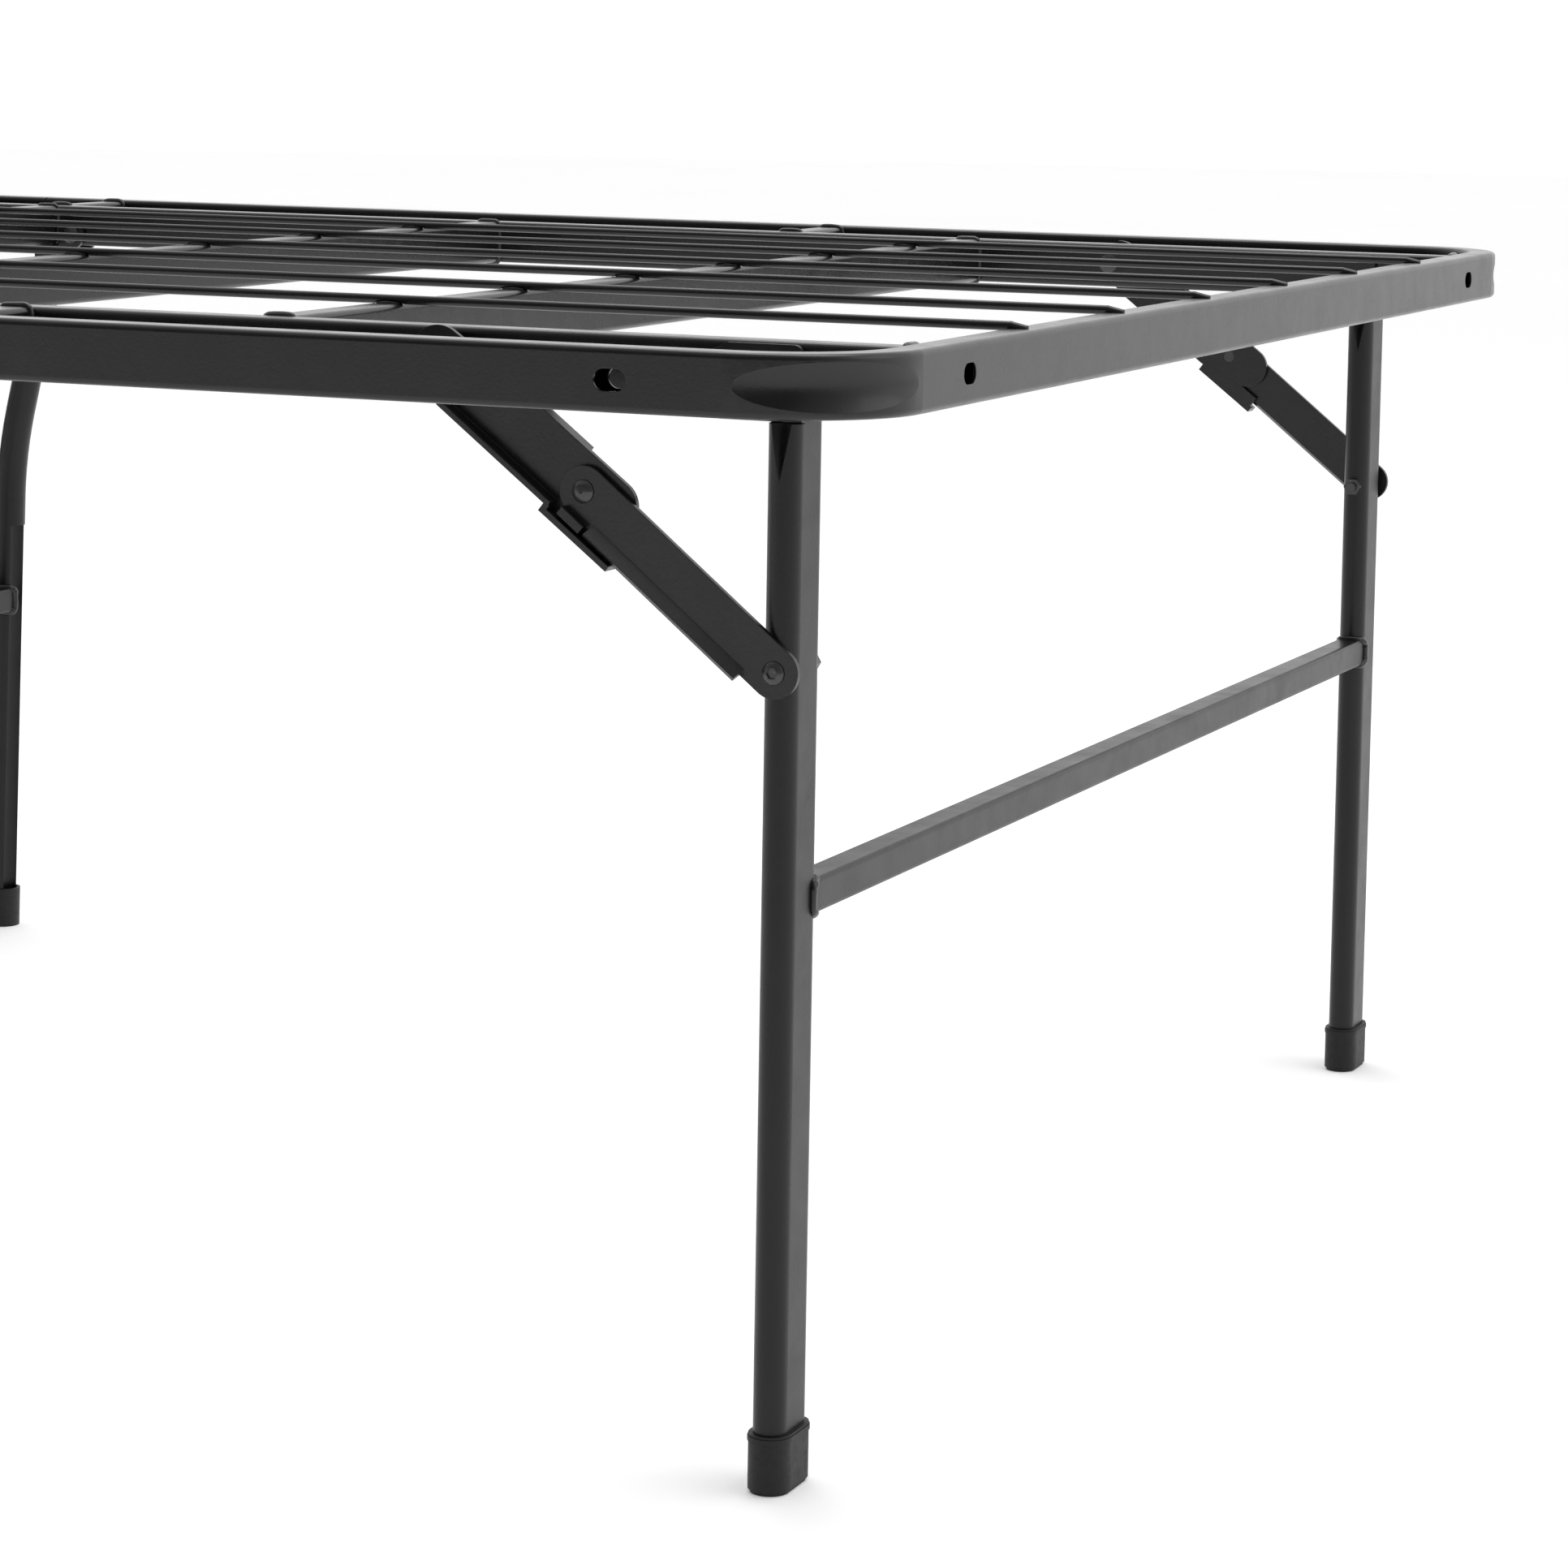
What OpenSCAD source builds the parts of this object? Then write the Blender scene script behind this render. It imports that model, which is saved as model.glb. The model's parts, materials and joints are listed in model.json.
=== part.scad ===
// Folding metal bed frame. Two half decks of welded steel tube and wire meet end to end and fold
// together on a hinge between their inner beams. Each half stands on a braced end leg frame and on a
// bent middle leg frame, and both frames fold up against the deck.
// Millimetres, +Z up, origin on the floor under the middle of the bed. +X is the foot end, +Y is left.
// Every sub-part is drawn for the foot half on its left side, then mirrored to the other places.

/* [Overall] */
// Length of the opened bed
bed_l = 1905; // [1850:5:2030]
// Width across the outer rails
bed_w = 990; // [940:10:1100]
// Height from the floor to the top of the outer rails
bed_h = 457; // [455:1:459]

/* [Deck] */
// Thickness of the rectangular deck tube
rail_t = 15; // [14:0.5:16]
// Height of the outer rail tube
rail_h = 25; // [24:0.5:26]
// Height of the inner beams and cross tubes
beam_h = 24; // [23:0.5:25]
// Radius on the long edges of the deck tube
rail_edge = 2.5; // [1.5:0.5:3]
// Wall of the deck tube
rail_wall = 1.2; // [1:0.1:1.5]
// Outside radius of the two bent corners
corner_r = 58; // [50:1:65]
// Depth of the hollow that bending leaves in the outside of each corner
corner_dish = 2.2; // [1:0.1:3]
// From the outer face of the outer rail to the middle of the inner beam
beam_inset = 85; // [80:1:95]
// Diameter of the deck wires
wire_d = 4; // [3.5:0.1:4.5]
// Number of deck wires
wire_n = 6; // [4:1:6]
// Distance from one deck wire to the next
wire_pitch = 122; // [110:1:125]
// Gap between the two half decks at the fold
fold_gap = 0.8; // [0.6:0.1:1.5]
// From the fold to the first cross tube
cross_start = 50; // [48:1:50]
// Distance from one cross tube to the next
cross_pitch = 303.5; // [295:0.5:310]
// From the fold to the short spacer tube near the brace
spacer_x = 541.5; // [520:0.5:560]

/* [End legs] */
// From the end of the bed to the end leg axis
leg_in = 63; // [60:1:70]
// Leg thickness along the bed
leg_t = 14; // [13:0.5:15]
// Leg width across the bed
leg_w = 31; // [29:0.5:32]
// How far the leg pivot sits inboard of the leg axis
pivot_in = 17; // [16.5:0.1:18]
// Height of the lower cross bar
bar_z = 235.7; // [225:0.1:245]
// Side of the square lower cross bar
bar_t = 14.3; // [13:0.1:14.5]

/* [Middle legs] */
// Diameter of the bent middle leg tube
mid_d = 18; // [17:0.5:19]
// From the fold to the top of the middle leg
mid_top_x = 49; // [48:0.5:50]
// From the top of the middle leg out to its pivot
mid_pivot_out = 18.5; // [18:0.5:20]
// Lean of the upper part of the middle leg, in degrees
mid_lean = 13; // [12:0.5:13]
// Height where the two straight parts of the middle leg would meet
mid_bend_z = 300; // [290:5:310]
// Lean of the lower part of the middle leg, in degrees
mid_low_lean = 1.4; // [1:0.1:1.5]
// Centre line radius of the bend
mid_bend_r = 280; // [240:10:320]
// Height of the bar between the middle legs
mid_bar_z = 208; // [190:1:220]
// Side of the square bar between the middle legs
mid_bar_t = 15; // [14:0.5:16]

/* [Braces] */
// Height of the bolt that joins the brace to the leg
bolt_z = 328; // [322:0.5:334]
// From the leg axis in to the upper brace pivot
brace_in = 148; // [144:0.5:152]
// Height of the upper brace pivot
brace_z = 445; // [444:0.5:445]
// Pivot spacing of the upper arm
upper_len = 83.1; // [81:0.1:85]
// How far the knuckle stands above the line between the other two pivots
knuckle_rise = 1; // [0.5:0.1:2]

/* [Mounting slots] */
// Length of a mounting slot
slot_l = 13.5; // [11:0.5:15]
// Height of a mounting slot
slot_h = 8.5; // [7:0.5:10]
// Distance between the two slots in an end rail
slot_spacing = 772; // [700:2:790]
// From the end of the bed to the slot in a side rail
side_slot_in = 103.7; // [95:0.1:120]

/* [Hidden] */
$fn = 48;

black = [0.07, 0.07, 0.075];
rubber_black = [0.03, 0.03, 0.03];
steel_black = [0.12, 0.12, 0.13];
gap = 0.3;
running = 0.05;
weld = 0.1;

end_x = bed_l / 2;
beam_y = bed_w / 2 - beam_inset;
rail_mid_z = bed_h - rail_h / 2;
beam_bottom = bed_h - rail_h;
beam_top = beam_bottom + beam_h;
beam_mid_z = beam_bottom + beam_h / 2;
wire_sink = 0.8;
wire_z = beam_top + wire_d / 2 - wire_sink;
leg_x = end_x - leg_in;

plate_t = 2.5;
cheek_y = rail_t / 2 + gap;
pivot_z = beam_bottom + 6.5;
leg_top = beam_bottom - gap - plate_t;
crimp_l = 27;
crimp_flat = 4.6;
mid_crimp_flat = 8;
rivet_r = 4;
rivet_head_r = 5.5;
head_h = 2;

foot_wall = 1.8;
foot_h = 24;
foot_base = 3;

fold_z = wire_z + wire_d / 2 + 1.8;
fold_pin_r = 2.5;
fold_ear_r = 5;

arm_t = 2.5;
lower_y = leg_w / 2 + gap;
upper_y = lower_y - gap - arm_t;
arm_head_r = 11;
upper_half = 13.3;
upper_lip = 4;
stop_lip = 7;
stop_jog = 1.2;
stop_past = 28;
lower_half = 10.3;
mid_rivet_r = 3;
bolt_r = 2.5;
bolt_head_r = 4.7;

brace_c = [leg_x - brace_in, brace_z];
brace_b = [leg_x, bolt_z];
brace_u = (brace_b - brace_c) / norm(brace_b - brace_c);
brace_r = brace_c + sqrt(upper_len * upper_len - knuckle_rise * knuckle_rise) * brace_u
    + knuckle_rise * [-brace_u[1], brace_u[0]];
lower_len = norm(brace_b - brace_r);
upper_angle = atan2(brace_r[1] - brace_c[1], brace_r[0] - brace_c[0]);
lower_angle = atan2(brace_b[1] - brace_r[1], brace_b[0] - brace_r[0]);

mid_axis_top = [mid_top_x, leg_top];
mid_bend = [mid_top_x - (leg_top - mid_bend_z) * tan(mid_lean), mid_bend_z];
mid_foot_x = mid_bend[0] - mid_bend_z * tan(mid_low_lean);
mid_bar_x = mid_bend[0] - (mid_bend_z - mid_bar_z) * tan(mid_low_lean);

// Places

module place(foot, left) {
    mirror([foot ? 0 : 1, 0, 0]) mirror([0, left ? 0 : 1, 0]) children();
}

module both_sides(foot) {
    for (left = [true, false]) place(foot, left) children();
}

// Turns a shape drawn in the X-Z plane so that its thickness runs from y up to y + t.
module upright(y, t) {
    translate([0, y + t, 0]) rotate([90, 0, 0]) linear_extrude(t) children();
}

// Round bar across the bed from y1 to y2.
module cross_pin(x, z, r, y1, y2) {
    translate([x, y2, z]) rotate([90, 0, 0]) cylinder(h = y2 - y1, r = r);
}

// Shallow domed head across the bed, flat side at y, rising outwards or inwards.
module dome(x, z, r, y, out = true) {
    ball = (r * r + head_h * head_h) / (2 * head_h);
    translate([x, y, z]) rotate([out ? -90 : 90, 0, 0]) intersection() {
        translate([0, 0, head_h - ball]) sphere(r = ball);
        cylinder(h = head_h + 1, r = r + 1);
    }
}

// Sections

module rounded_rect(w, h, r) {
    square([w - 2 * r, h], center = true);
    square([w, h - 2 * r], center = true);
    for (sx = [-1, 1], sy = [-1, 1]) translate([sx * (w / 2 - r), sy * (h / 2 - r)]) circle(r);
}

module tube_section(w, h, r, wall) {
    difference() {
        rounded_rect(w, h, r);
        rounded_rect(w - 2 * wall, h - 2 * wall, max(r - wall, 0.5));
    }
}

// Section of a bent corner. Its hollow stays clear of the dish in the outer face.
module corner_section() {
    difference() {
        rounded_rect(rail_t, rail_h, rail_edge);
        translate([-corner_dish / 2, 0])
            rounded_rect(rail_t - 2 * rail_wall - corner_dish, rail_h - 2 * rail_wall, rail_edge - rail_wall);
    }
}

module stadium(w, h) {
    long = max(w, h);
    r = min(w, h) / 2;
    square([w > h ? w - 2 * r : w, w > h ? h : h - 2 * r], center = true);
    for (s = [-1, 1]) translate(w > h ? [s * (long / 2 - r), 0] : [0, s * (long / 2 - r)]) circle(r);
}

// Straight band with round ends between two points.
module band(p, q, r) {
    d = q - p;
    translate(p) rotate(atan2(d[1], d[0])) translate([0, -r]) square([norm(d), 2 * r]);
    for (c = [p, q]) translate(c) circle(r);
}

// Deck

module tube_along_x(x1, x2, y, z, h) {
    translate([x1, y, z]) rotate([90, 0, 90]) linear_extrude(x2 - x1)
        tube_section(rail_t, h, rail_edge, rail_wall);
}

module tube_along_y(x, y1, y2, z, h) {
    translate([x, y2, z]) rotate([90, 0, 0]) linear_extrude(y2 - y1)
        tube_section(rail_t, h, rail_edge, rail_wall);
}

module slot_cut(across_y) {
    rotate([90, 0, across_y ? 0 : 90]) linear_extrude(2 * rail_t, center = true) stadium(slot_l, slot_h);
}

// Ring that dishes the outside of a corner most at its middle and fades out before its ends.
module corner_dish_cut() {
    ring_tube = 22;
    fade = corner_dish / (1 - cos(38));
    shift = fade * sqrt(0.5);
    translate([-shift, -shift, 0]) rotate_extrude()
        translate([corner_r - corner_dish + fade + ring_tube, 0]) circle(ring_tube);
}

module outer_rail_half() {
    side_y = bed_w / 2 - rail_t / 2;
    difference() {
        union() {
            tube_along_x(fold_gap / 2, end_x - corner_r, side_y, rail_mid_z, rail_h);
            translate([end_x - corner_r, bed_w / 2 - corner_r, rail_mid_z]) difference() {
                rotate_extrude(angle = 90) translate([corner_r - rail_t / 2, 0]) corner_section();
                corner_dish_cut();
            }
            tube_along_y(end_x - rail_t / 2, 0, bed_w / 2 - corner_r, rail_mid_z, rail_h);
        }
        translate([end_x - side_slot_in, side_y, rail_mid_z]) slot_cut(true);
        translate([end_x - rail_t / 2, slot_spacing / 2, rail_mid_z]) slot_cut(false);
    }
}

module outer_rail(foot) {
    color(black) both_sides(foot) outer_rail_half();
}

module inner_beam(foot, left) {
    color(black) place(foot, left) difference() {
        tube_along_x(fold_gap / 2, end_x - rail_t, beam_y, beam_mid_z, beam_h);
        for (p = [brace_c, [leg_x - pivot_in, pivot_z], [mid_top_x + mid_pivot_out, pivot_z]])
            cross_pin(p[0], p[1], rivet_r, beam_y - rail_t, beam_y + rail_t);
    }
}

module cross_tube(foot, row) {
    color(black) both_sides(foot)
        tube_along_y(cross_start + row * cross_pitch, 0, beam_y - rail_t / 2, beam_mid_z, beam_h);
}

module spacer_tubes(foot) {
    color(black) both_sides(foot) for (x = [cross_start, spacer_x])
        tube_along_y(x, beam_y + rail_t / 2, bed_w / 2 - rail_t, beam_mid_z, beam_h);
}

module wire_run(p, q) {
    d = q - p;
    translate([p[0], 0, p[1]]) rotate([0, 90 - atan2(d[1], d[0]), 0])
            cylinder(h = norm(d), d = wire_d, $fn = 24);
}

// One wire over the cross tubes, with flats where it is welded. Its end lies down on the end rail.
module deck_wire() {
    knee = [end_x - rail_t + 2, wire_z + 0.7];
    tip = [end_x - 6, bed_h - 0.6];
    difference() {
        union() {
            wire_run([cross_start - rail_t / 2, wire_z], knee);
            wire_run(knee, tip);
            translate([knee[0], 0, knee[1]]) sphere(d = wire_d + weld, $fn = 24);
        }
        for (row = [0:2])
            translate([cross_start + row * cross_pitch - rail_t / 2, -wire_d, beam_bottom])
                cube([rail_t, 2 * wire_d, beam_h]);
        translate([end_x - rail_t, -wire_d, beam_bottom]) cube([rail_t, 2 * wire_d, rail_h]);
    }
}

module deck_wires(foot) {
    color(steel_black) mirror([foot ? 0 : 1, 0, 0])
        for (i = [0:wire_n - 1]) translate([0, (i - (wire_n - 1) / 2) * wire_pitch, 0]) deck_wire();
}

// Fold hinge on the inner faces of the inner beams

// Leaf with a raised ear round the hinge pin. hole_r is the radius of its bore.
module fold_leaf(y, hole_r) {
    difference() {
        upright(y, plate_t) {
            translate([0, fold_z]) circle(fold_ear_r);
            polygon([[-4, fold_z - 2], [2, fold_z + 4], [16, beam_top - 3], [6, beam_bottom + 14]]);
            translate([6, beam_bottom + 5]) square([30, beam_h - 8]);
        }
        cross_pin(0, fold_z, hole_r, y - 1, y + plate_t + 1);
    }
}

module fold_leaves(foot) {
    face = beam_y - rail_t / 2;
    color(black) both_sides(foot) {
        if (foot) fold_leaf(face - plate_t, fold_pin_r + running);
        if (!foot) {
            fold_leaf(face - 2 * plate_t - gap, fold_pin_r);
            translate([14, face - plate_t - gap, beam_bottom + 5]) cube([22, plate_t + gap, beam_h - 8]);
        }
    }
}

module fold_pins() {
    inner = beam_y - rail_t / 2 - 2 * plate_t - gap;
    color(steel_black) both_sides(true) {
        cross_pin(0, fold_z, fold_pin_r, inner, inner + 2 * plate_t + gap - 0.1);
        dome(0, fold_z, fold_pin_r + 1.5, inner, false);
    }
}

// Rivets that stay with the deck

// Upper brace pivot: the shank through the beam and its inner head.
module brace_top_rivet() {
    cross_pin(brace_c[0], brace_z, rivet_r, beam_y - rail_t / 2, beam_y + rail_t / 2);
    dome(brace_c[0], brace_z, rivet_head_r, beam_y - rail_t / 2, false);
}

module pivot_rivet(x) {
    outside = cheek_y + plate_t + gap;
    cross_pin(x, pivot_z, rivet_r, beam_y - outside, beam_y + outside);
    dome(x, pivot_z, rivet_head_r, beam_y - outside, false);
    dome(x, pivot_z, rivet_head_r, beam_y + outside, true);
}

module pivot_rivets() {
    for (x = [leg_x - pivot_in, mid_top_x + mid_pivot_out]) pivot_rivet(x);
}

// Leg frames

module cheeks(x, z) {
    for (y = [-cheek_y - plate_t, cheek_y]) difference() {
        translate([0, beam_y, 0]) upright(y, plate_t) children();
        cross_pin(x, z, rivet_r + running, beam_y + y - 1, beam_y + y + plate_t + 1);
    }
}

module saddle(x) {
    translate([x - leg_t / 2, beam_y - cheek_y, leg_top]) cube([leg_t, 2 * cheek_y, plate_t]);
}

// Bracket on top of an end leg: two cheeks beside the beam and a saddle below it.
module end_bracket() {
    corner = 4;
    cheeks(leg_x - pivot_in, pivot_z) translate([leg_x, beam_bottom]) {
        polygon([[-34, 0], [-34, 19], [-25, beam_h - 1], [7 - corner, beam_h - 1], [7 - corner, 0]]);
        translate([-28, -7]) square([35, 8]);
        translate([7 - corner, 0]) square([corner, beam_h - 1 - corner]);
        translate([7 - corner, beam_h - 1 - corner]) circle(corner);
    }
    saddle(leg_x);
}

// Bracket on top of a middle leg. It clears the cross tube and the spacer beside the pivot.
module mid_bracket() {
    pivot_x = mid_top_x + mid_pivot_out;
    low = leg_top - 8;
    turning_room = 1.6;
    cheeks(pivot_x, pivot_z) difference() {
        union() {
            translate([pivot_x, pivot_z]) circle(9);
            polygon([
                [pivot_x - 6, pivot_z + 6],
                [pivot_x + 6, pivot_z - 6],
                [mid_top_x + 16, low],
                [mid_top_x - 7, low],
                [mid_top_x - 7, leg_top + 2]
            ]);
        }
        translate([0, beam_bottom - gap]) square([cross_start + rail_t / 2 + turning_room, 40]);
    }
    saddle(mid_top_x);
}

// The two flats that let the top of a leg pass between the cheeks.
module crimp_flats(width, h) {
    for (s = [0, 1]) mirror([0, s, 0])
        translate([-width, cheek_y, leg_top - h]) cube([2 * width, width, 2 * h]);
}

// Grooves pressed into the round faces of an end leg. Each deepens upwards from a point.
module end_crimp() {
    groove_depth = 5.6;
    crimp_flats(leg_w, crimp_flat);
    for (s = [0, 1]) mirror([0, s, 0]) translate([0, leg_w / 2, leg_top - crimp_l])
        rotate([atan2(groove_depth, crimp_l - crimp_flat), 0, 0]) rotate([0, 0, 45])
            cube([leg_w, leg_w, 2 * crimp_l]);
}

// Sloping cuts that run up to the flats of a middle leg.
module mid_crimp() {
    crimp_flats(mid_d, mid_crimp_flat);
    for (s = [0, 1]) mirror([0, s, 0]) translate([0, cheek_y, leg_top - mid_crimp_flat])
        rotate([atan2(mid_d / 2 - cheek_y + 1, crimp_l - mid_crimp_flat), 0, 0])
            translate([-mid_d, 0, -2 * crimp_l]) cube([2 * mid_d, mid_d, 2 * crimp_l]);
}

module end_leg_solid() {
    translate([leg_x, beam_y, foot_base]) linear_extrude(leg_top - foot_base) stadium(leg_t, leg_w);
}

module end_leg(foot, left) {
    color(black) place(foot, left) difference() {
        end_leg_solid();
        translate([leg_x, beam_y, 0]) linear_extrude(leg_top - crimp_l - 4)
            stadium(leg_t - 2 * rail_wall, leg_w - 2 * rail_wall);
        translate([leg_x, beam_y, 0]) end_crimp();
        cross_pin(leg_x, bolt_z, bolt_r + running, beam_y - leg_w, beam_y + leg_w);
    }
}

module leg_bar(foot) {
    color(black) both_sides(foot) difference() {
        translate([leg_x, beam_y - leg_w / 2 + leg_t / 2, bar_z]) rotate([90, 0, 0])
            linear_extrude(beam_y - leg_w / 2 + leg_t / 2) tube_section(bar_t, bar_t, 2, rail_wall);
        end_leg_solid();
    }
}

module leg_foot() {
    translate([leg_x, beam_y, 0]) difference() {
        union() {
            translate([0, 0, 1.5]) linear_extrude(foot_h - 1.5)
                stadium(leg_t + 2 * foot_wall, leg_w + 2 * foot_wall);
            linear_extrude(2) stadium(leg_t + 2 * foot_wall - 2, leg_w + 2 * foot_wall - 2);
            translate([0, 0, foot_h - 3]) linear_extrude(2)
                stadium(leg_t + 2 * foot_wall + 0.8, leg_w + 2 * foot_wall + 0.8);
        }
        translate([0, 0, foot_base]) linear_extrude(foot_h) stadium(leg_t, leg_w);
    }
}

// Middle leg along its bent centre line, as a solid of diameter d cut level at the floor height. The bend
// is a hair thinner than the straight parts, which reach 1 mm into it.
module mid_leg_solid(d, floor_z) {
    turn = mid_lean - mid_low_lean;
    tangent = mid_bend_r * tan(turn / 2);
    upper = norm(mid_axis_top - mid_bend) - tangent + 1;
    lower = mid_bend_z / cos(mid_low_lean) - tangent + 1;
    arc_start = mid_bend - tangent * [sin(mid_low_lean), cos(mid_low_lean)];
    difference() {
        translate([0, beam_y, 0]) {
            translate([mid_axis_top[0], 0, mid_axis_top[1]]) rotate([0, mid_lean, 0])
                translate([0, 0, -upper]) cylinder(h = upper + 5, d = d);
            translate([arc_start[0], 0, arc_start[1]]) rotate([0, mid_low_lean, 0]) {
                translate([0, 0, -lower - 5]) cylinder(h = lower + 6, d = d);
                translate([mid_bend_r, 0, 0]) rotate([90, 0, 0]) rotate([0, 0, 180 - turn])
                    rotate_extrude(angle = turn) translate([mid_bend_r, 0]) circle(d = d - weld);
            }
        }
        translate([-100, beam_y - 50, floor_z - 100]) cube([300, 100, 100]);
        translate([-100, beam_y - 50, leg_top]) cube([300, 100, 100]);
    }
}

module mid_leg(foot, left) {
    color(black) place(foot, left) difference() {
        mid_leg_solid(mid_d, foot_base);
        translate([mid_bend[0], beam_y, 0]) rotate([0, mid_low_lean, 0])
            translate([0, 0, -5]) cylinder(h = mid_bend_z - 40, d = mid_d - 2 * rail_wall);
        translate([mid_top_x, beam_y, 0]) mid_crimp();
    }
}

module mid_bar(foot) {
    color(black) both_sides(foot) difference() {
        translate([mid_bar_x, beam_y, mid_bar_z]) rotate([90, 0, 0])
            linear_extrude(beam_y) tube_section(mid_bar_t, mid_bar_t, 2, rail_wall);
        mid_leg_solid(mid_d, foot_base);
    }
}

module mid_foot() {
    difference() {
        intersection() {
            mid_leg_solid(mid_d + 2 * foot_wall, 0);
            translate([mid_foot_x - 50, beam_y - 50, 0]) cube([100, 100, foot_h]);
        }
        mid_leg_solid(mid_d, foot_base);
    }
}

// Braces

module end_bolt() {
    outer = lower_y + arm_t + gap;
    cross_pin(leg_x, bolt_z, bolt_r, beam_y - leg_w / 2 - 6, beam_y + outer);
    difference() {
        dome(leg_x, bolt_z, bolt_head_r, beam_y + outer, true);
        translate([leg_x, beam_y + outer + 0.6, bolt_z]) rotate([-90, 0, 0])
            cylinder(h = 3, r = 2.3, $fn = 6);
    }
}

module end_nut() {
    translate([leg_x, beam_y - leg_w / 2, bolt_z]) rotate([90, 0, 0]) difference() {
        cylinder(h = 4, r = bolt_head_r, $fn = 6);
        translate([0, 0, -1]) cylinder(h = 6, r = bolt_r);
    }
}

// Channel arm, drawn along +X from its upper pivot. Its upper edge turns in towards the beam. Its lower
// edge turns out, steps down beside the knuckle and runs on below the lower arm as its stop.
module upper_arm(foot, left) {
    past = 23;
    step = upper_len - 9;
    stop_top = -upper_half - stop_jog;
    color(black) place(foot, left) translate([brace_c[0], beam_y, brace_z]) rotate([0, -upper_angle, 0]) {
        difference() {
            upright(upper_y, arm_t) {
                circle(arm_head_r + 1);
                polygon([[0, arm_head_r + 1], [20, upper_half], [20, -upper_half], [0, -arm_head_r - 1]]);
                translate([19, -upper_half]) square([upper_len - 10, 2 * upper_half]);
                band([upper_len, upper_half - 11], [upper_len + past - 11, upper_half - 11], 11);
            }
            cross_pin(upper_len, 0, mid_rivet_r, upper_y - 1, upper_y + arm_t + 1);
        }
        translate([24, upper_y - upper_lip, upper_half - arm_t]) cube([upper_len - 34, upper_lip + 1, arm_t]);
        translate([14, upper_y, -upper_half]) cube([step - 12, stop_lip + arm_t, arm_t - gap]);
        translate([step, upper_y, stop_top - arm_t]) {
            cube([arm_t, stop_lip + arm_t, arm_t + stop_jog + 1]);
            cube([upper_len + stop_past - step, stop_lip + arm_t, arm_t]);
            cube([upper_len + stop_past - step - 1, arm_t, 9]);
        }
    }
}

// Outer head of the upper brace rivet, and the bush that holds the arm off the beam. Both turn with the arm.
module brace_top_head() {
    cross_pin(brace_c[0], brace_z, rivet_r + 1, beam_y + rail_t / 2 + gap, beam_y + upper_y);
    dome(brace_c[0], brace_z, rivet_head_r, beam_y + upper_y + arm_t, true);
}

// Flat arm with round ends. Its lower edge flares out into a flange that rests above the stop of the
// upper arm.
module lower_arm(foot, left) {
    flare_out = 5;
    flare_down = 2.6;
    color(black) place(foot, left) translate([brace_r[0], beam_y, brace_r[1]]) rotate([0, -lower_angle, 0]) {
        difference() {
            upright(lower_y, arm_t) band([0, 0], [lower_len, 0], lower_half);
            cross_pin(0, 0, mid_rivet_r + running, 0, leg_w);
            cross_pin(lower_len, 0, bolt_r + running, 0, leg_w);
        }
        translate([0, lower_y, -lower_half]) {
            translate([12, 0, 0]) rotate([90, 0, 90]) linear_extrude(lower_len - 22) polygon([
                [0, 0], [arm_t - 0.5, 0], [arm_t + flare_out - 1.8, -flare_down],
                [arm_t + flare_out, -flare_down + 1.8], [arm_t, 3], [0, 3]
            ]);
            translate([-2, 0, -flare_down]) cube([12, arm_t + flare_out - 1, flare_down + 1]);
        }
    }
}

module brace_mid_rivet() {
    outer = lower_y + arm_t + gap;
    cross_pin(brace_r[0], brace_r[1], mid_rivet_r, beam_y + upper_y, beam_y + outer);
    dome(brace_r[0], brace_r[1], bolt_head_r, beam_y + outer, true);
}

// Nodes

outer_rail(true);  // foot_outer_rail
inner_beam(true, true);  // foot_inner_beam_left
inner_beam(true, false);  // foot_inner_beam_right
cross_tube(true, 0);  // foot_cross_tube_fold
cross_tube(true, 1);  // foot_cross_tube_middle
cross_tube(true, 2);  // foot_cross_tube_end
spacer_tubes(true);  // foot_spacer_tubes
deck_wires(true);  // foot_deck_wires
fold_leaves(true);  // foot_fold_leaves
color(steel_black) both_sides(true) pivot_rivets();  // foot_pivot_rivets
color(steel_black) both_sides(true) brace_top_rivet();  // foot_brace_top_rivets
end_leg(true, true);  // foot_leg_left
end_leg(true, false);  // foot_leg_right
color(black) both_sides(true) end_bracket();  // foot_leg_brackets
leg_bar(true);  // foot_leg_bar
color(rubber_black) both_sides(true) leg_foot();  // foot_leg_feet
color(steel_black) both_sides(true) end_bolt();  // foot_brace_bolts
color(steel_black) both_sides(true) end_nut();  // foot_brace_nuts
lower_arm(true, true);  // foot_lower_arm_left
lower_arm(true, false);  // foot_lower_arm_right
color(steel_black) both_sides(true) brace_mid_rivet();  // foot_brace_mid_rivets
upper_arm(true, true);  // foot_upper_arm_left
upper_arm(true, false);  // foot_upper_arm_right
color(steel_black) both_sides(true) brace_top_head();  // foot_brace_top_heads
mid_leg(true, true);  // foot_mid_leg_left
mid_leg(true, false);  // foot_mid_leg_right
color(black) both_sides(true) mid_bracket();  // foot_mid_brackets
mid_bar(true);  // foot_mid_bar
color(rubber_black) both_sides(true) mid_foot();  // foot_mid_feet
outer_rail(false);  // head_outer_rail
inner_beam(false, true);  // head_inner_beam_left
inner_beam(false, false);  // head_inner_beam_right
cross_tube(false, 0);  // head_cross_tube_fold
cross_tube(false, 1);  // head_cross_tube_middle
cross_tube(false, 2);  // head_cross_tube_end
spacer_tubes(false);  // head_spacer_tubes
deck_wires(false);  // head_deck_wires
fold_leaves(false);  // head_fold_leaves
color(steel_black) both_sides(false) pivot_rivets();  // head_pivot_rivets
color(steel_black) both_sides(false) brace_top_rivet();  // head_brace_top_rivets
end_leg(false, true);  // head_leg_left
end_leg(false, false);  // head_leg_right
color(black) both_sides(false) end_bracket();  // head_leg_brackets
leg_bar(false);  // head_leg_bar
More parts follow.
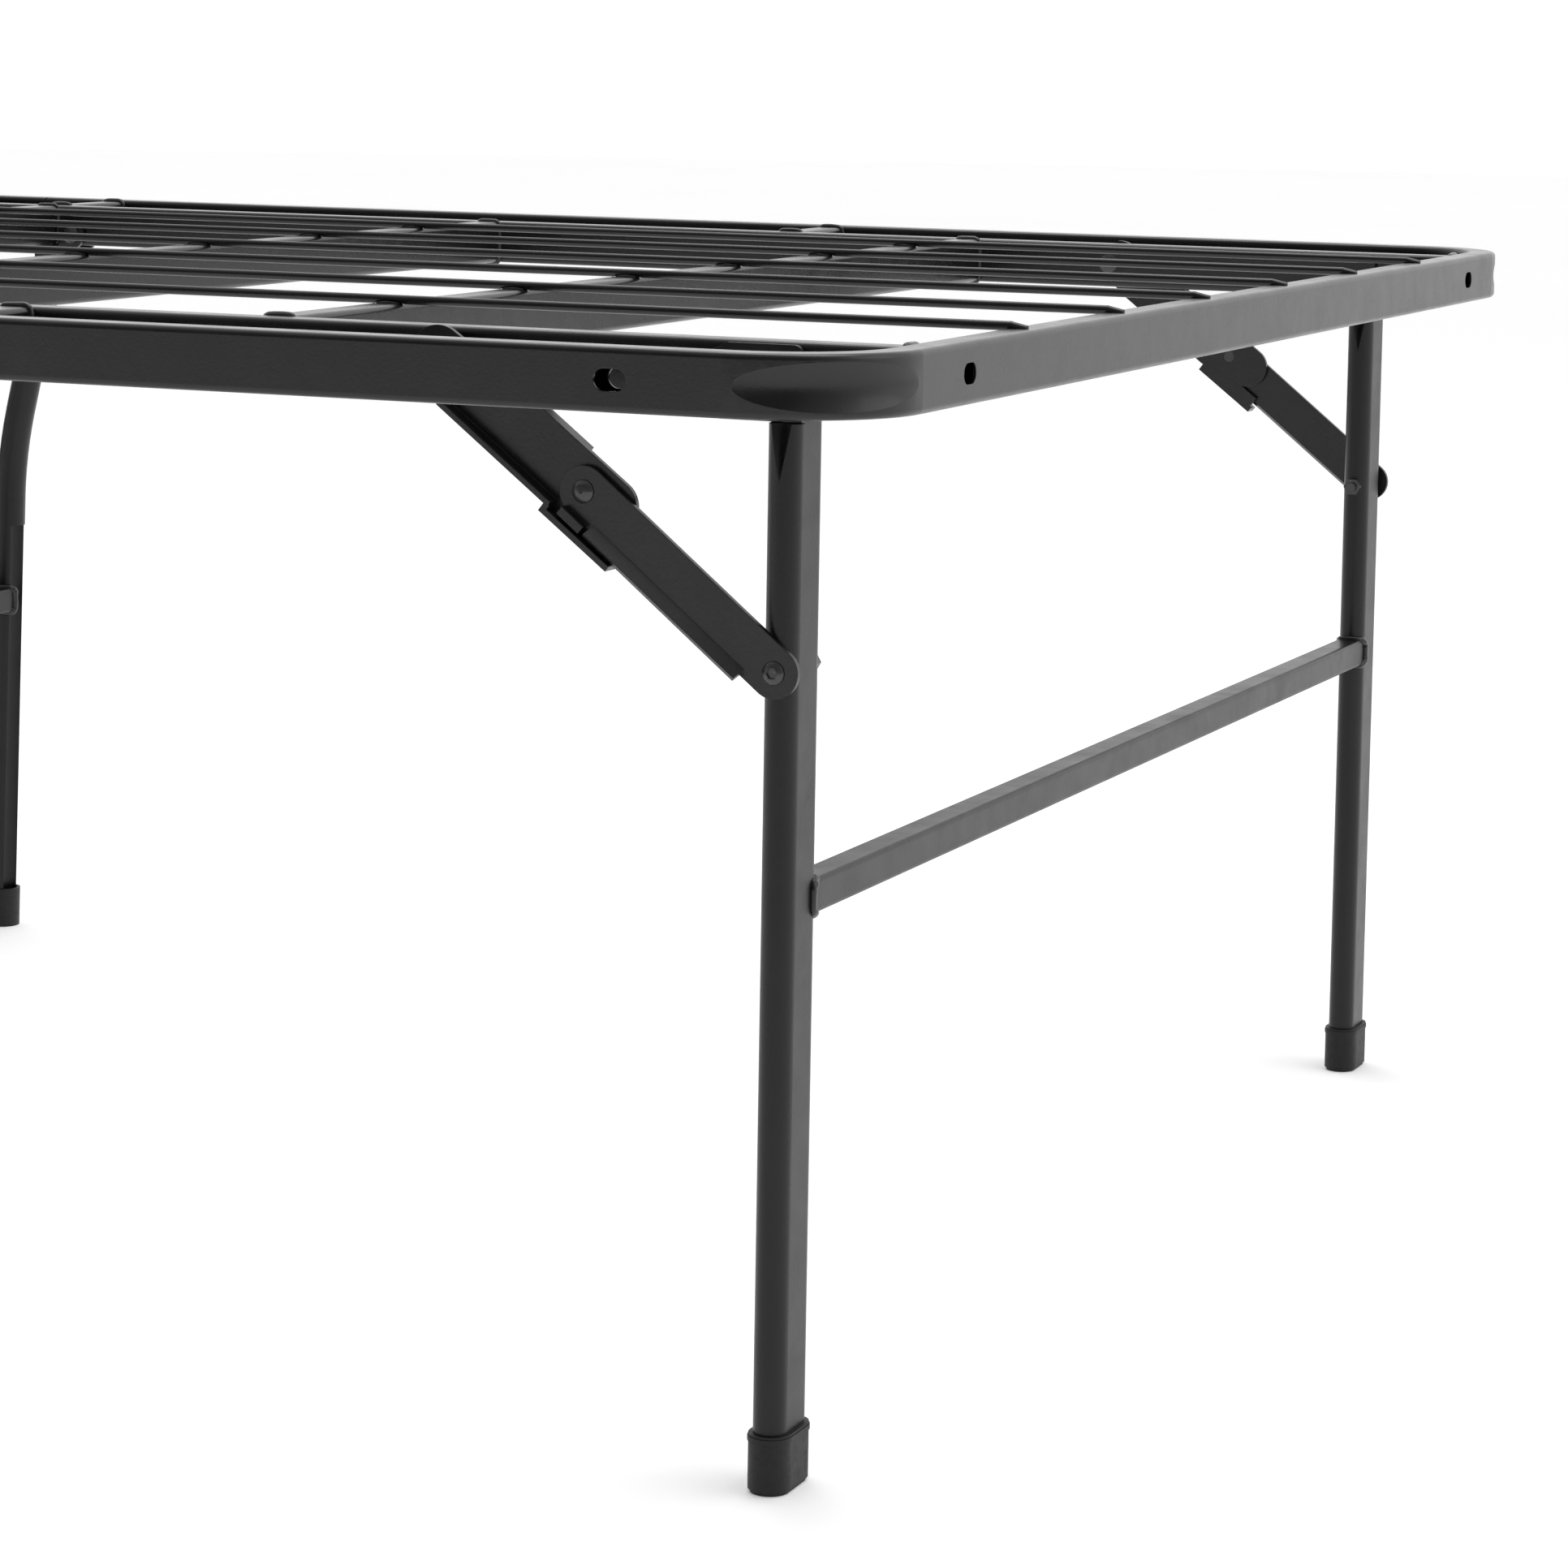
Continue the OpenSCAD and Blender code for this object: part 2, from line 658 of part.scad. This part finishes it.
color(rubber_black) both_sides(false) leg_foot();  // head_leg_feet
color(steel_black) both_sides(false) end_bolt();  // head_brace_bolts
color(steel_black) both_sides(false) end_nut();  // head_brace_nuts
lower_arm(false, true);  // head_lower_arm_left
lower_arm(false, false);  // head_lower_arm_right
color(steel_black) both_sides(false) brace_mid_rivet();  // head_brace_mid_rivets
upper_arm(false, true);  // head_upper_arm_left
upper_arm(false, false);  // head_upper_arm_right
color(steel_black) both_sides(false) brace_top_head();  // head_brace_top_heads
mid_leg(false, true);  // head_mid_leg_left
mid_leg(false, false);  // head_mid_leg_right
color(black) both_sides(false) mid_bracket();  // head_mid_brackets
mid_bar(false);  // head_mid_bar
color(rubber_black) both_sides(false) mid_foot();  // head_mid_feet
fold_pins();
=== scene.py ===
"""Looks of the folding metal bed frame: coatings, weld beads, studio and camera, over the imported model."""

import json
import math
import random

import bmesh
import bpy
from mathutils import Euler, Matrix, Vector


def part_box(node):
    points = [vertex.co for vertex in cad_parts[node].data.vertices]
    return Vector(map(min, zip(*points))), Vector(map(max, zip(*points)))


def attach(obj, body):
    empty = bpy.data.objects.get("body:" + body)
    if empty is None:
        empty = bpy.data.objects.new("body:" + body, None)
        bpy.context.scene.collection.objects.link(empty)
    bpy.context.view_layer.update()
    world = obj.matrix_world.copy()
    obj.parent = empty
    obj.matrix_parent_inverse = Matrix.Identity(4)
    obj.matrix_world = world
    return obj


MM = 0.001
BEAD_SIDES = 8  # corners of a weld bead's cross-section
BITE = 0.4 * MM  # how far a bead's path sits inside the end of its tube
WIRES = 6  # deck wires on each half

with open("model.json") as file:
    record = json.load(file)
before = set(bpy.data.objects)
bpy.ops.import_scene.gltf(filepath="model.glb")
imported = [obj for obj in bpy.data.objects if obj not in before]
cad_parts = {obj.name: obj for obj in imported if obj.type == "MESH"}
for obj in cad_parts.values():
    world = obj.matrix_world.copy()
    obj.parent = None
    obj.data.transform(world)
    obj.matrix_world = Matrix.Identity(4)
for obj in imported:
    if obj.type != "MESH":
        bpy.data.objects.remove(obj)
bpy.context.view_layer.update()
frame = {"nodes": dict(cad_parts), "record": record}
rng = random.Random(7)


# ---------------------------------------------------------------- materials


def new_material(name):
    """An empty node material and its Principled shader."""
    material = bpy.data.materials.new(name)
    material.use_nodes = True
    return material, material.node_tree.nodes, material.node_tree.links


def noise(nodes, links, coordinates, scale, detail=3.0, roughness=0.55):
    """A noise texture on the piece's own coordinates. scale is in features per metre."""
    texture = nodes.new("ShaderNodeTexNoise")
    texture.inputs["Scale"].default_value = scale
    texture.inputs["Detail"].default_value = detail
    texture.inputs["Roughness"].default_value = roughness
    links.new(coordinates, texture.inputs["Vector"])
    return texture.outputs["Fac"]


def spread(nodes, links, value, low, high, start=0.3, end=0.7):
    """Maps a noise value onto the range low to high."""
    mapped = nodes.new("ShaderNodeMapRange")
    mapped.inputs["From Min"].default_value = start
    mapped.inputs["From Max"].default_value = end
    mapped.inputs["To Min"].default_value = low
    mapped.inputs["To Max"].default_value = high
    links.new(value, mapped.inputs["Value"])
    return mapped.outputs["Result"]


def mix_colours(nodes, links, factor, first, second):
    """A colour between first and second, by a factor from 0 to 1."""
    mixed = nodes.new("ShaderNodeMix")
    mixed.data_type = "RGBA"
    links.new(factor, mixed.inputs["Factor"])
    mixed.inputs["A"].default_value = (*first, 1)
    mixed.inputs["B"].default_value = (*second, 1)
    return mixed.outputs["Result"]


def soft_edges(nodes):
    """A normal that rounds sharp edges by half a millimetre, as a coat of paint does."""
    edge = nodes.new("ShaderNodeBevel")
    edge.samples = 4
    edge.inputs["Radius"].default_value = 0.5 * MM
    return edge.outputs["Normal"]


def add_bump(nodes, links, heights, normal=None):
    """Chains bumps on a normal. heights is a list of (value, distance in metres, strength)."""
    for value, distance, strength in heights:
        bump = nodes.new("ShaderNodeBump")
        bump.inputs["Distance"].default_value = distance
        bump.inputs["Strength"].default_value = strength
        links.new(value, bump.inputs["Height"])
        if normal:
            links.new(normal, bump.inputs["Normal"])
        normal = bump.outputs["Normal"]
    return normal


def coating(name, dark, light, gloss, peel=0.5, specular=0.5):
    """Powder coat: tiny colour drift, an orange-peel skin and a faint dust of duller specks."""
    material, nodes, links = new_material(name)
    shader = nodes["Principled BSDF"]
    where = nodes.new("ShaderNodeTexCoord").outputs["Object"]
    drift = noise(nodes, links, where, 9.0, 4.0)
    skin = noise(nodes, links, where, 620.0, 2.0)
    fine = noise(nodes, links, where, 1900.0, 1.0)
    patches = noise(nodes, links, where, 45.0, 5.0, 0.65)
    colour = mix_colours(nodes, links, spread(nodes, links, drift, 0, 1), dark, light)
    links.new(colour, shader.inputs["Base Color"])
    links.new(spread(nodes, links, patches, gloss - 0.04, gloss + 0.05), shader.inputs["Roughness"])
    shader.inputs["Specular IOR Level"].default_value = specular
    bumps = [(skin, 0.00007, peel), (fine, 0.00003, peel)]
    links.new(add_bump(nodes, links, bumps, soft_edges(nodes)), shader.inputs["Normal"])
    return material


def moulded_rubber(name):
    """Matt black rubber with a fine grain and paler scuffs low down, where the feet meet the floor."""
    material, nodes, links = new_material(name)
    shader = nodes["Principled BSDF"]
    where = nodes.new("ShaderNodeTexCoord").outputs["Object"]
    height = nodes.new("ShaderNodeSeparateXYZ")
    links.new(where, height.inputs["Vector"])
    low = spread(nodes, links, height.outputs["Z"], 1.0, 0.0, 0.0, 0.006)
    scuffs = spread(nodes, links, noise(nodes, links, where, 300.0, 6.0, 0.7), 0.0, 0.6, 0.45, 0.75)
    worn = nodes.new("ShaderNodeMath")
    worn.operation = "MULTIPLY"
    links.new(low, worn.inputs[0])
    links.new(scuffs, worn.inputs[1])
    colour = mix_colours(nodes, links, worn.outputs["Value"], (0.005, 0.005, 0.005), (0.04, 0.04, 0.038))
    links.new(colour, shader.inputs["Base Color"])
    links.new(spread(nodes, links, scuffs, 0.52, 0.68, 0.0, 0.6), shader.inputs["Roughness"])
    grain = noise(nodes, links, where, 1400.0, 2.0)
    links.new(add_bump(nodes, links, [(grain, 0.0001, 0.5)]), shader.inputs["Normal"])
    shader.inputs["Specular IOR Level"].default_value = 0.4
    return material


def blackened_steel(name):
    """Rivets and bolts: thin coat over metal, with brighter wear where the noise peaks."""
    material, nodes, links = new_material(name)
    shader = nodes["Principled BSDF"]
    where = nodes.new("ShaderNodeTexCoord").outputs["Object"]
    wear = spread(nodes, links, noise(nodes, links, where, 500.0, 5.0, 0.7), 0.0, 1.0, 0.6, 0.8)
    colour = mix_colours(nodes, links, wear, (0.06, 0.06, 0.062), (0.22, 0.22, 0.225))
    links.new(colour, shader.inputs["Base Color"])
    links.new(spread(nodes, links, wear, 0.2, 0.32, 0.0, 1.0), shader.inputs["Roughness"])
    links.new(spread(nodes, links, wear, 0.5, 0.9, 0.0, 1.0), shader.inputs["Metallic"])
    skin = noise(nodes, links, where, 900.0, 2.0)
    links.new(add_bump(nodes, links, [(skin, 0.00008, 0.4)], soft_edges(nodes)), shader.inputs["Normal"])
    return material


MATERIALS = {
    "rail": coating("rail_coat", (0.0035, 0.0035, 0.0036), (0.005, 0.005, 0.0052), 0.25, 0.4),
    "beam": coating("beam_coat", (0.0035, 0.0035, 0.0036), (0.005, 0.005, 0.0052), 0.26, 0.4),
    "wire": coating("wire_coat", (0.004, 0.004, 0.0042), (0.006, 0.006, 0.0063), 0.24, 0.3),
    "bracket": coating("bracket_coat", (0.005, 0.005, 0.0052), (0.007, 0.007, 0.0073), 0.3, 0.5),
    "leg": coating("leg_coat", (0.0045, 0.0045, 0.0047), (0.0065, 0.0065, 0.0068), 0.34, 0.8, 0.36),
    "brace": coating("brace_coat", (0.0045, 0.0045, 0.0047), (0.0065, 0.0065, 0.0068), 0.3, 0.7),
    "weld": coating("weld_coat", (0.006, 0.006, 0.0063), (0.009, 0.009, 0.0094), 0.24, 1.0),
    "rivet": blackened_steel("rivet_steel"),
    "bolt": blackened_steel("bolt_steel"),
    "foot_cap": moulded_rubber("foot_rubber"),
}


def dress_frame():
    """Gives every CAD node the material of its record slot."""
    slots = {part["node"]: part["material_slot"] for part in frame["record"]["subparts"]}
    for name, node in frame["nodes"].items():
        node.data.materials.clear()
        node.data.materials.append(MATERIALS[slots[name]])


# ---------------------------------------------------------------- weld beads


def bead_ring(bm, centre, along, out, radius):
    """A slightly uneven ring of vertices round the bead's path at one point."""
    side = along.cross(out).normalized()
    ring = []
    for k in range(BEAD_SIDES):
        turn = 2 * math.pi * k / BEAD_SIDES
        reach = radius * (1 + 0.12 * math.sin(3 * turn + 40 * centre.x))
        ring.append(bm.verts.new(centre + (out * math.cos(turn) + side * math.sin(turn)) * reach))
    return ring


def skin_rings(bm, rings, closed):
    """Joins rings of vertices into a loop, or into a run with closed ends."""
    pairs = list(zip(rings, rings[1:]))
    if closed:
        pairs.append((rings[-1], rings[0]))
    for a, b in pairs:
        for k in range(BEAD_SIDES):
            after = (k + 1) % BEAD_SIDES
            bm.faces.new((a[k], a[after], b[after], b[k]))
    if not closed:
        bm.faces.new(list(reversed(rings[0])))
        bm.faces.new(rings[-1])


def rectangle_bead(bm, centre, normal_axis, width, height, radius, saddle=0.0, outwards=1):
    """Ripples of weld metal round the end of a rectangular tube. normal_axis is 'x' or 'y', along the tube.

    saddle is the radius of the upright round face that the tube meets, on its outwards side.
    """
    steps = 44
    half = Vector((width / 2, height / 2))
    path = []
    for k in range(steps):
        turn = 2 * math.pi * k / steps
        c, s = math.cos(turn), math.sin(turn)
        u = math.copysign(abs(c) ** 0.35, c) * half.x
        v = math.copysign(abs(s) ** 0.35, s) * half.y
        ripple = 1 + 0.16 * math.sin(6.5 * k) + rng.uniform(-0.12, 0.12)
        local = Vector((0, u, v)) if normal_axis == "x" else Vector((u, 0, v))
        wrap = saddle - math.sqrt(max(0.0, saddle**2 - u**2))
        path.append((centre + local + Vector((0, outwards * wrap, 0)), local.normalized(), ripple))
    rings = []
    for k, (point, out, ripple) in enumerate(path):
        along = (path[(k + 1) % steps][0] - path[k - 1][0]).normalized()
        out = (out - along * out.dot(along)).normalized()
        rings.append(bead_ring(bm, point, along, out, radius * ripple))
    skin_rings(bm, rings, True)


def line_bead(bm, start, end, out, radius, steps):
    """A short straight run of weld with lumpy ripples and tapering ends."""
    along = (end - start).normalized()
    rings = []
    for k in range(steps + 1):
        t = k / steps
        taper = math.sqrt(max(0.08, 1 - (2 * t - 1) ** 6))
        ripple = 1 + 0.18 * math.sin(5.2 * k) + rng.uniform(-0.12, 0.12)
        rings.append(bead_ring(bm, start.lerp(end, t), along, out, radius * taper * ripple))
    skin_rings(bm, rings, False)


def weld_piece(name, body, draw):
    """One mesh of all the weld beads that ride on a body."""
    mesh = bpy.data.meshes.new(name)
    bm = bmesh.new()
    draw(bm)
    bmesh.ops.recalc_face_normals(bm, faces=bm.faces)
    for face in bm.faces:
        face.smooth = True
    bm.to_mesh(mesh)
    bm.free()
    mesh.materials.append(MATERIALS["weld"])
    piece = bpy.data.objects.new(name, mesh)
    bpy.context.scene.collection.objects.link(piece)
    smoother = piece.modifiers.new("round", "SUBSURF")
    smoother.levels = smoother.render_levels = 1
    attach(piece, body)
    return piece


def middle(low, high):
    """Halfway between two corners, or between two coordinates."""
    return (low + high) / 2


def deck_welds(half):
    """Beads at the tube ends, at the beams' outer ends and at every wire crossing of one half deck."""

    def draw(bm):
        wires_low, wires_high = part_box(f"{half}_deck_wires")
        wire_radius = 2 * MM
        pitch = (wires_high.y - wires_low.y - 2 * wire_radius) / (WIRES - 1)
        wire_rows = [wires_low.y + wire_radius + k * pitch for k in range(WIRES)]
        for row in ("fold", "middle", "end"):
            low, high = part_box(f"{half}_cross_tube_{row}")
            centre = middle(low, high)
            for y, inwards in ((low.y, 1), (high.y, -1)):
                end = Vector((centre.x, y + inwards * BITE, centre.z))
                rectangle_bead(bm, end, "y", high.x - low.x, high.z - low.z, 1.7 * MM)
            for y in wire_rows:
                for side in (-1, 1):
                    start = Vector((centre.x - 5.5 * MM, y + side * 1.7 * MM, high.z + 0.1 * MM))
                    end = start + Vector((11 * MM, 0, 0))
                    line_bead(bm, start, end, Vector((0, 0, 1)), 0.9 * MM, 9)
        beam_low, beam_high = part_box(f"{half}_inner_beam_left")
        outwards = 1 if half == "foot" else -1
        end_x = beam_high.x if half == "foot" else beam_low.x
        spacer_low, spacer_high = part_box(f"{half}_spacer_tubes")
        spacer_width = beam_high.y - beam_low.y
        for side in (-1, 1):
            beam_y = side * middle(beam_low.y, beam_high.y)
            centre = Vector((end_x - outwards * BITE, beam_y, middle(beam_low.z, beam_high.z)))
            rectangle_bead(bm, centre, "x", beam_high.y - beam_low.y, beam_high.z - beam_low.z, 1.7 * MM)
            for x in (spacer_low.x + spacer_width / 2, spacer_high.x - spacer_width / 2):
                for y in (beam_high.y + BITE, spacer_high.y - BITE):
                    centre = Vector((x, side * y, middle(spacer_low.z, spacer_high.z)))
                    rectangle_bead(bm, centre, "y", spacer_width, spacer_high.z - spacer_low.z, 1.9 * MM)
        tip_x = wires_high.x if half == "foot" else wires_low.x
        for y in wire_rows:
            start = Vector((tip_x - outwards * 9 * MM, y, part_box(f"{half}_outer_rail")[1].z - 0.3 * MM))
            end = start + Vector((outwards * 9.5 * MM, 0, 0))
            line_bead(bm, start, end, Vector((0, 0, 1)), 1.5 * MM, 9)

    return weld_piece(f"{half}_deck_welds", f"{half}_half", draw)


def bar_welds(name, body, bar, leg, saddle):
    """Beads where a cross bar meets its two legs, whose faces there are round with the radius saddle."""

    def draw(bm):
        bar_low, bar_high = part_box(bar)
        leg_low, leg_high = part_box(leg)
        centre = middle(bar_low, bar_high)
        inner = min(abs(leg_low.y), abs(leg_high.y))
        for side in (-1, 1):
            end = Vector((centre.x, side * (inner - 0.2 * MM), centre.z))
            size = (bar_high.x - bar_low.x, bar_high.z - bar_low.z)
            rectangle_bead(bm, end, "y", *size, 2.2 * MM, saddle, side)

    return weld_piece(name, body, draw)


def bracket_welds(half):
    """Beads between the saddle of each bracket and the top of its end leg."""

    def draw(bm):
        low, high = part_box(f"{half}_leg_left")
        for side in (-1, 1):
            for x in (low.x, high.x):
                y = side * middle(low.y, high.y)
                start = Vector((x, y - 7 * MM, high.z))
                end = Vector((x, y + 7 * MM, high.z))
                line_bead(bm, start, end, Vector((1 if x == high.x else -1, 0, 0)), 1.6 * MM, 12)

    return weld_piece(f"{half}_bracket_welds", f"{half}_end_legs", draw)


# ---------------------------------------------------------------- studio


def studio_piece(name, bm, material):
    """A mesh of the studio, kept apart from the bed."""
    mesh = bpy.data.meshes.new(name)
    bm.to_mesh(mesh)
    bm.free()
    mesh.materials.append(material)
    piece = bpy.data.objects.new(name, mesh)
    bpy.context.scene.collection.objects.link(piece)
    return piece


def paper(name, strength):
    """Matt white paper with a soft glow of its own."""
    material, nodes, links = new_material(name)
    shader = nodes["Principled BSDF"]
    where = nodes.new("ShaderNodeTexCoord").outputs["Object"]
    tone = spread(nodes, links, noise(nodes, links, where, 0.8, 2.0), 0, 1)
    colour = mix_colours(nodes, links, tone, (0.93, 0.93, 0.93), (0.95, 0.95, 0.95))
    links.new(colour, shader.inputs["Base Color"])
    shader.inputs["Roughness"].default_value = 0.9
    shader.inputs["Specular IOR Level"].default_value = 0.1
    shader.inputs["Emission Color"].default_value = (1.0, 1.0, 1.0, 1)
    shader.inputs["Emission Strength"].default_value = strength
    return material


def studio():
    """A round pale floor, and a plain wall round it that only the camera sees."""
    wide, tall = 16.0, 14.0
    floor = bmesh.new()
    bmesh.ops.create_circle(floor, cap_ends=True, segments=96, radius=wide)
    studio_piece("studio_floor", floor, paper("floor_paper", 0.2))
    wall = bmesh.new()
    rings = []
    for z in (-0.1, tall):
        rings.append(bmesh.ops.create_circle(wall, segments=96, radius=0.99 * wide)["verts"])
        bmesh.ops.translate(wall, verts=rings[-1], vec=(0, 0, z))
    bmesh.ops.bridge_loops(wall, edges=wall.edges[:])
    backdrop = studio_piece("studio_wall", wall, paper("wall_paper", 1.0))
    backdrop.visible_diffuse = False
    backdrop.visible_glossy = False
    backdrop.visible_transmission = False
    backdrop.visible_shadow = False


def soft_world():
    """White surroundings, dimmer on the near side, so that faces turned to the camera stay dark."""
    world = bpy.data.worlds.new("soft_world")
    bpy.context.scene.world = world
    world.use_nodes = True
    nodes, links = world.node_tree.nodes, world.node_tree.links
    direction = nodes.new("ShaderNodeTexCoord").outputs["Generated"]
    split = nodes.new("ShaderNodeSeparateXYZ")
    links.new(direction, split.inputs["Vector"])
    brightness = spread(nodes, links, split.outputs["Y"], 0.17, 1.2, -0.75, 0.3)
    background = nodes["Background"]
    background.inputs["Color"].default_value = (1.0, 1.0, 1.0, 1)
    links.new(brightness, background.inputs["Strength"])


def area_light(name, place, aim, size, power):
    """A soft rectangular light at place, turned to face aim. power is in watts."""
    light = bpy.data.lights.new(name, "AREA")
    light.shape = "RECTANGLE"
    light.size, light.size_y = size
    light.energy = power
    lamp = bpy.data.objects.new(name, light)
    lamp.location = place
    lamp.rotation_euler = (Vector(aim) - Vector(place)).to_track_quat("-Z", "Y").to_euler()
    bpy.context.scene.collection.objects.link(lamp)


def camera():
    """A long lens at low height off the foot corner. Angles are in degrees and places in metres."""
    data = bpy.data.cameras.new("camera")
    data.sensor_width = 36.0
    data.lens = 106.118
    data.shift_y = -0.2
    data.clip_start, data.clip_end = 0.05, 60.0
    yaw, pitch, roll = math.radians(22.63), math.radians(-5.67), math.radians(0.95)
    lens = bpy.data.objects.new("camera", data)
    lens.location = (1.5742, -2.0633, 0.583)
    turn = Euler((math.pi / 2 + pitch, 0, yaw), "XYZ").to_matrix()
    lens.rotation_euler = (turn @ Euler((0, 0, roll), "XYZ").to_matrix()).to_euler()
    bpy.context.scene.collection.objects.link(lens)
    bpy.context.scene.camera = lens


def weld_half(half):
    """All the weld beads of one half. An end leg's round faces have a 7 mm radius, a middle leg 9 mm."""
    deck_welds(half)
    bracket_welds(half)
    bar_welds(f"{half}_end_bar_welds", f"{half}_end_legs", f"{half}_leg_bar", f"{half}_leg_left", 7 * MM)
    name = f"{half}_mid_bar_welds"
    bar_welds(name, f"{half}_mid_legs", f"{half}_mid_bar", f"{half}_mid_leg_left", 9 * MM)


dress_frame()
weld_half("foot")
weld_half("head")
studio()
soft_world()
area_light("top_softbox", (0.6, 0.6, 3.2), (0.3, 0.0, 0.3), (3.0, 1.2), 30)
area_light("right_softbox", (3.6, 0.2, 2.0), (0.6, 0.0, 0.3), (2.0, 2.0), 8)
bpy.context.scene.view_settings.view_transform = "Standard"
camera()
